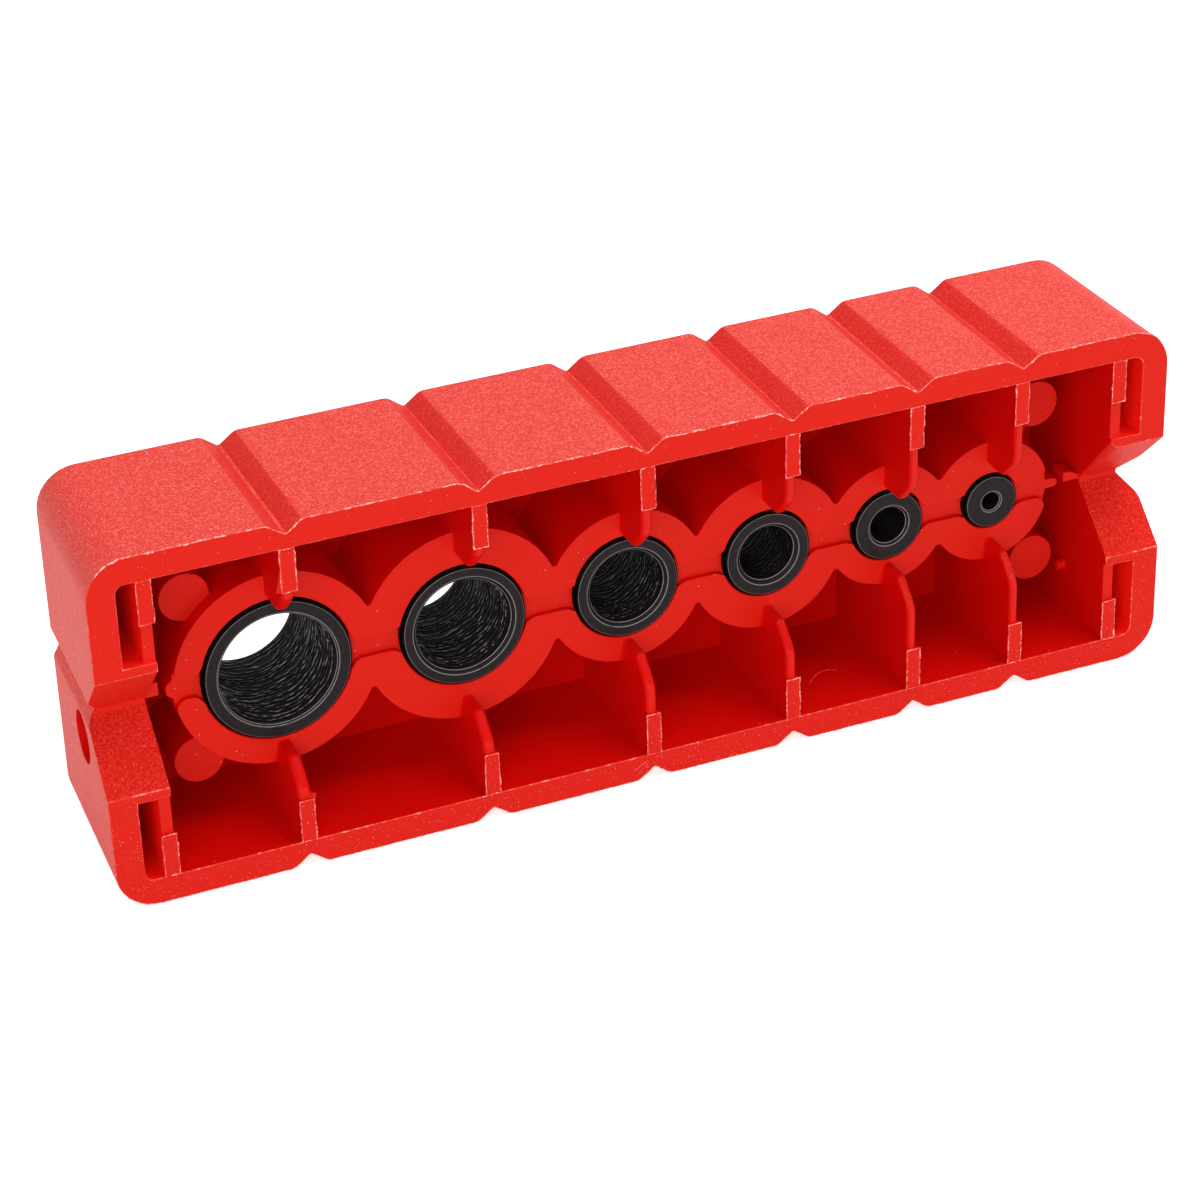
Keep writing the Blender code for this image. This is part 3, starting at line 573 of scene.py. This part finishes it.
def add_moulding():
    """The body with its solid's edges rounded as a mould leaves them, and a finish for each zone."""
    form = body_form()
    round_noses(form)
    blend_ribs_into_rings(form)
    soften_right_wall(form)
    form.normal_update()
    zones = [*FINISHES, "edge"]
    for face in form.faces:
        face.material_index = zones.index(face_zone(face))
    folds = [edge for edge in form.edges if edge.is_manifold]
    sharp = [edge for edge in folds if edge.calc_face_angle() > SHARP_ANGLE]
    rounded = round_edges(form, sharp, EDGE_ROUNDING, EDGE_STEPS)
    # Rounded faces along the front edges take the pale reds: a painted highlight there, partly
    # stress-whitened plastic
    for face in rounded["faces"]:
        if face.calc_center_median().y < FRONT + EDGE_ROUNDING:
            face.material_index = zones.index("edge")
    for face in form.faces:
        face.smooth = True
    mesh = bpy.data.meshes.new("moulded_body")
    form.to_mesh(mesh)
    form.free()
    for zone in FINISHES:
        mesh.materials.append(moulded_material(zone))
    mesh.materials.append(pale_material("red_edge_highlight", EDGE_PALE_AND_HIGHLIGHT))
    piece = link_mesh("moulded_body", mesh)
    weights = piece.modifiers.new("Even shading", "WEIGHTED_NORMAL")
    weights.keep_sharp = False
    dress(piece, "guide_body")


def keep_as_piece(drawn, name, material):
    """Turns a drawn curve into a piece of the moulding."""
    mesh = bpy.data.meshes.new_from_object(drawn.evaluated_get(bpy.context.evaluated_depsgraph_get()))
    bpy.data.objects.remove(drawn, do_unlink=True)
    mesh.name = name
    mesh.materials.clear()
    mesh.materials.append(material)
    dress(link_mesh(name, mesh))


def flash_along(name, chosen, material, thickness):
    """Ragged thin tube along the body's edges that pass the test, broken here and there."""
    form = body_form()
    others = [edge for edge in form.edges if not chosen(edge)]
    bmesh.ops.delete(form, geom=form.faces[:], context="FACES_ONLY")
    bmesh.ops.delete(form, geom=[edge for edge in others if edge.is_valid], context="EDGES")
    loose = [vertex for vertex in form.verts if not vertex.link_edges]
    bmesh.ops.delete(form, geom=loose, context="VERTS")
    for edge in form.edges[:]:
        cuts = int(edge.calc_length() / FLASH_STEP)
        if cuts:
            bmesh.ops.subdivide_edges(form, edges=[edge], cuts=cuts)
    draw = random.Random(FLASH_SEED)
    for vertex in form.verts:
        wander = noise.noise_vector(vertex.co / FLASH_WAVE) * FLASH_WANDER * thickness
        jitter = Vector([draw.uniform(-FLASH_JITTER, FLASH_JITTER) for _ in range(3)])
        vertex.co += wander + jitter
    mesh = bpy.data.meshes.new(name)
    form.to_mesh(mesh)
    form.free()
    drawn = link_mesh(f"{name}_path", mesh)
    bpy.ops.object.select_all(action="DESELECT")
    drawn.select_set(True)
    bpy.context.view_layer.objects.active = drawn
    bpy.ops.object.convert(target="CURVE")
    curve = drawn.data
    curve.bevel_depth = FLASH_RADIUS * thickness
    curve.bevel_resolution = 0
    curve.use_fill_caps = True
    for spline in curve.splines:
        for point in spline.points:
            swell = FLASH_MEAN_SWELL + FLASH_SWELL_RANGE * noise.noise(point.co.xyz / FLASH_SWELL_WAVE)
            swell += draw.uniform(-FLASH_SWELL_JITTER, FLASH_SWELL_JITTER)
            whole = draw.random() > FLASH_GAP_SHARE
            point.radius = max(FLASH_LEAST_SWELL, swell) if whole else FLASH_GAP_SWELL
    keep_as_piece(drawn, name, material)


def add_strand(name, places, material):
    """Hair-thin strand that runs smoothly through the places given and fades at its ends."""
    curve = bpy.data.curves.new(name, "CURVE")
    curve.dimensions = "3D"
    curve.bevel_depth = STRAND_RADIUS
    curve.bevel_resolution = 0
    curve.resolution_u = STRAND_SMOOTHNESS
    spline = curve.splines.new("NURBS")
    spline.points.add(len(places) - 1)
    spline.use_endpoint_u = True
    spline.order_u = 3
    for point, place in zip(spline.points, places):
        point.co = (*place, 1.0)
    for end in (spline.points[0], spline.points[-1]):
        end.radius = STRAND_END_SHARE
    drawn = bpy.data.objects.new(name, curve)
    bpy.context.scene.collection.objects.link(drawn)
    keep_as_piece(drawn, name, material)


def is_pad_edge(edge):
    """Outline of a pad in the front plane, and the line where it joins the long wall's rim."""
    if not all(on_front(vertex.co) and inside_walls(vertex.co) for vertex in edge.verts):
        return False
    centres = [face.calc_center_median() for face in edge.link_faces]
    return [on_front(centre) and inside_walls(centre) for centre in centres].count(True) == 1


def is_top_edge(edge):
    """Edge between the outside and the rim on the upper half."""
    return edge.verts[0].co.z > MIDDLE and is_outer_edge(edge)


def is_foot_edge(edge):
    """Edge between the outside and the rim on the lower half."""
    return edge.verts[0].co.z < MIDDLE and is_outer_edge(edge)


def is_outer_edge(edge):
    """Edge between the outside and the rim in the front plane, apart from the ends."""
    if not all(on_front(vertex.co) for vertex in edge.verts):
        return False
    kinds = {face_zone(face) for face in edge.link_faces}
    on_end = any(abs(face.normal.x) > ON_END for face in edge.link_faces)
    return bool(kinds & {"outside", "groove"}) and bool(kinds & {"rim", "speckled_rim"}) and not on_end


def ridge_noise(kind, around, depth, i):
    return noise.noise(around * kind.turns + Vector((kind.aside, 0, depth / kind.wave + i * kind.step)))


def ridge_height(angle, depth, i):
    """Torn tool marks of a bore: ridges that run round it, wander and break. Returns 0 to 1."""
    around = Vector((math.cos(angle), math.sin(angle), 0.0))
    drift = ridge_noise(DRIFT, around, depth, i) * DRIFT_SHARE
    ripple = ridge_noise(RIPPLE, around, depth, i) * RIPPLE_SHARE
    turns = depth / RIDGE_PITCH + RIDGE_WANDER * (drift + ripple)
    crest = 1 - abs(2 * (turns % 1.0) - 1)
    strength = MEAN_STRENGTH + TEAR_SHARE * ridge_noise(TEAR, around, depth, i)
    return crest ** CREST_SHARPNESS * min(1.0, max(LEAST_STRENGTH, strength))


def bush_profile(i):
    """Closed half section of bush i as (radius, y, wear and painted light), and the ends of its torn bore.
    """
    face = BUSH_RADII[i]
    shoulder = face + SHOULDER_WIDTH
    bore = BORE_RADII[i]
    chamfer = min(BORE_FRONT_CHAMFERS[i], (face - bore) / 2)
    lead_in = min(BORE_LEAD_IN, (face - bore) / 2)
    start = BUSH_BACK - lead_in
    end = BUSH_FRONT + chamfer
    line = EDGE_LINE_WIDTH
    lip = bore + chamfer
    points = [
        (lip, BUSH_FRONT, LIP_WEAR_AND_HIGHLIGHT), (lip + line, BUSH_FRONT, FADING_WEAR_AND_HIGHLIGHT),
        (lip + 2 * line, BUSH_FRONT, SOUND), (face - line, BUSH_FRONT, SOUND),
        (face - line / 2, BUSH_FRONT, RIM_WEAR_AND_HIGHLIGHT), (face, BUSH_FRONT + line / 2, RIM_WEAR_AND_HIGHLIGHT),
        (face + line / 2, BUSH_FRONT + line, SHOULDER_EDGE_SHADE),
        (shoulder, BUSH_FRONT + SHOULDER_DROP, PAINTED_BLACK_SHADE), (shoulder, BUSH_BACK, PAINTED_BLACK_SHADE),
        (bore + lead_in, BUSH_BACK, SOUND),
    ]
    for step in range(BORE_RINGS + 1):
        points.append((bore, start + (end - start) * step / BORE_RINGS, VALLEY_PAINTED_SHADE))
    points += [
        (bore + line / 2, end - line / 2, CHAMFER_WEAR_AND_HIGHLIGHT), (bore + line, end - line, CHAMFER_WEAR_AND_HIGHLIGHT),
        (bore + 2 * line, end - 2 * line, CHAMFER_SHADE), (lip - line, BUSH_FRONT + line, SOUND),
    ]
    return points, start, end


def add_bush(i, material):
    """Turned bush with the torn tool marks of its bore; its edges and ridge crests are lighter, partly worn
    and partly a painted highlight, and its shoulder and bore valleys darker with painted shade.
    """
    profile, start, end = bush_profile(i)
    form = bmesh.new()
    wear_light_shade = form.verts.layers.float.new("wear_light_shade")
    points = []
    for radius, y, wear_light_shade_value in profile:
        point = form.verts.new((radius, y, 0))
        point[wear_light_shade] = wear_light_shade_value
        points.append(point)
    edges = [form.edges.new(ends) for ends in zip(points, points[1:] + points[:1])]
    bmesh.ops.spin(
        form, geom=points + edges, cent=(0, 0, 0), axis=(0, 1, 0), angle=math.tau,
        steps=BUSH_STEPS[i], use_merge=True, use_duplicate=False,
    )
    bmesh.ops.remove_doubles(form, verts=form.verts, dist=SEAM_TOLERANCE)
    bmesh.ops.recalc_face_normals(form, faces=form.faces)
    bore = BORE_RADII[i]
    for vertex in form.verts:
        radius = math.hypot(vertex.co.x, vertex.co.z)
        if radius < bore + SEAM_TOLERANCE and end < vertex.co.y < start:
            mark = ridge_height(math.atan2(vertex.co.z, vertex.co.x), vertex.co.y, i)
            fade = min(1.0, (vertex.co.y - end) / RIDGE_PITCH, (start - vertex.co.y) / RIDGE_PITCH)
            shrink = 1 - RIDGE_HEIGHTS[i] * mark * fade / radius
            vertex.co.x *= shrink
            vertex.co.z *= shrink
            wear_light_shade_value = mark * fade * RIDGE_HEIGHTS[i] / RIDGE_HEIGHTS[0]
            vertex[wear_light_shade] = VALLEY_PAINTED_SHADE + (CREST_WEAR_AND_HIGHLIGHT - VALLEY_PAINTED_SHADE) * wear_light_shade_value
    form.transform(Matrix.Translation((BUSH_X[i], 0, MIDDLE)))
    for face in form.faces:
        face.smooth = True
    mesh = bpy.data.meshes.new(f"turned_bush_{i + 1}")
    form.to_mesh(mesh)
    form.free()
    mesh.set_sharp_from_angle(angle=BUSH_SHARP_ANGLE)
    mesh.materials.append(material)
    dress(link_mesh(f"turned_bush_{i + 1}", mesh), f"drill_bush_{i + 1}")


def add_camera():
    data = bpy.data.cameras.new("Camera")
    data.sensor_width = SENSOR
    data.lens = SENSOR * FOCAL_PIXELS / IMAGE_PIXELS
    data.clip_start = CLIP_START
    data.clip_end = CLIP_END
    camera = bpy.data.objects.new("Camera", data)
    bpy.context.scene.collection.objects.link(camera)
    heading = Matrix.Rotation(-CAMERA_YAW, 4, "Z")
    tilt = Matrix.Rotation(math.pi / 2 - CAMERA_PITCH, 4, "X")
    roll = Matrix.Rotation(CAMERA_ROLL, 4, "Z")
    camera.matrix_world = Matrix.Translation(CAMERA_PLACE) @ heading @ tilt @ roll
    bpy.context.scene.camera = camera


def add_lamp(name, place, size, power):
    data = bpy.data.lights.new(name, "AREA")
    data.shape = "SQUARE"
    data.size = size
    data.energy = power
    lamp = bpy.data.objects.new(name, data)
    bpy.context.scene.collection.objects.link(lamp)
    lamp.location = place
    lamp.rotation_euler = (Vector(LAMP_AIM) - Vector(place)).to_track_quat("-Z", "Y").to_euler()


def seen_directly(tree):
    """1 for camera, glossy and transmission rays, which see the background, and 0 for the rest."""
    path = add_node(tree, "ShaderNodeLightPath")
    total = path.outputs["Is Camera Ray"]
    for output in ("Is Glossy Ray", "Is Transmission Ray"):
        added = add_node(tree, "ShaderNodeMath", operation="ADD", use_clamp=True)
        tree.links.new(total, added.inputs[0])
        tree.links.new(path.outputs[output], added.inputs[1])
        total = added.outputs[0]
    return total


def add_floor():
    """White floor: it keeps the contact shadow, and glows just enough to reach white."""
    form = bmesh.new()
    bmesh.ops.create_grid(form, x_segments=1, y_segments=1, size=FLOOR_HALF_SIZE)
    mesh = bpy.data.meshes.new("floor")
    form.to_mesh(mesh)
    form.free()
    floor = link_mesh("floor", mesh)
    floor.location.z = -FLOOR_DROP
    material, tree, shader = new_material("white_floor")
    shader.inputs["Base Color"].default_value = FLOOR_COLOUR
    shader.inputs["Roughness"].default_value = FLOOR_ROUGHNESS
    glow = add_node(tree, "ShaderNodeEmission")
    tree.links.new(multiplied(tree, seen_directly(tree), FLOOR_GLOW), glow.inputs["Strength"])
    both = add_node(tree, "ShaderNodeAddShader")
    tree.links.new(shader.outputs[0], both.inputs[0])
    tree.links.new(glow.outputs[0], both.inputs[1])
    tree.links.new(both.outputs[0], tree.nodes["Material Output"].inputs["Surface"])
    mesh.materials.append(material)


def add_world():
    """White studio: plain light on the object, and white where it is seen or mirrored."""
    world = bpy.data.worlds.new("White tent")
    world.use_nodes = True
    bpy.context.scene.world = world
    tree = world.node_tree
    background = tree.nodes["Background"]
    strength = spread(tree, seen_directly(tree), WORLD_LIGHT, WORLD_SEEN)
    tree.links.new(strength, background.inputs["Strength"])
    background.inputs["Color"].default_value = (1.0, 1.0, 1.0, 1.0)


add_moulding()
pale_flash_highlight = pale_material("red_flash_highlight", FLASH_PALE_AND_HIGHLIGHT)
flash_along("pad_flash", is_pad_edge, pale_flash_highlight, PAD_FLASH_THICKNESS)
flash_along("rim_flash", is_top_edge, pale_flash_highlight, RIM_FLASH_THICKNESS)
flash_along("foot_flash", is_foot_edge, pale_flash_highlight, FOOT_FLASH_THICKNESS)
for number, path in enumerate(STRANDS):
    add_strand(f"strand_{number + 1}", path, pale_flash_highlight)
steel = blackened_steel_material()
for number in range(len(BUSH_X)):
    add_bush(number, steel)
add_camera()
add_floor()
add_world()
for lamp in LAMPS:
    add_lamp(*lamp)
bpy.context.scene.view_settings.view_transform = "Standard"
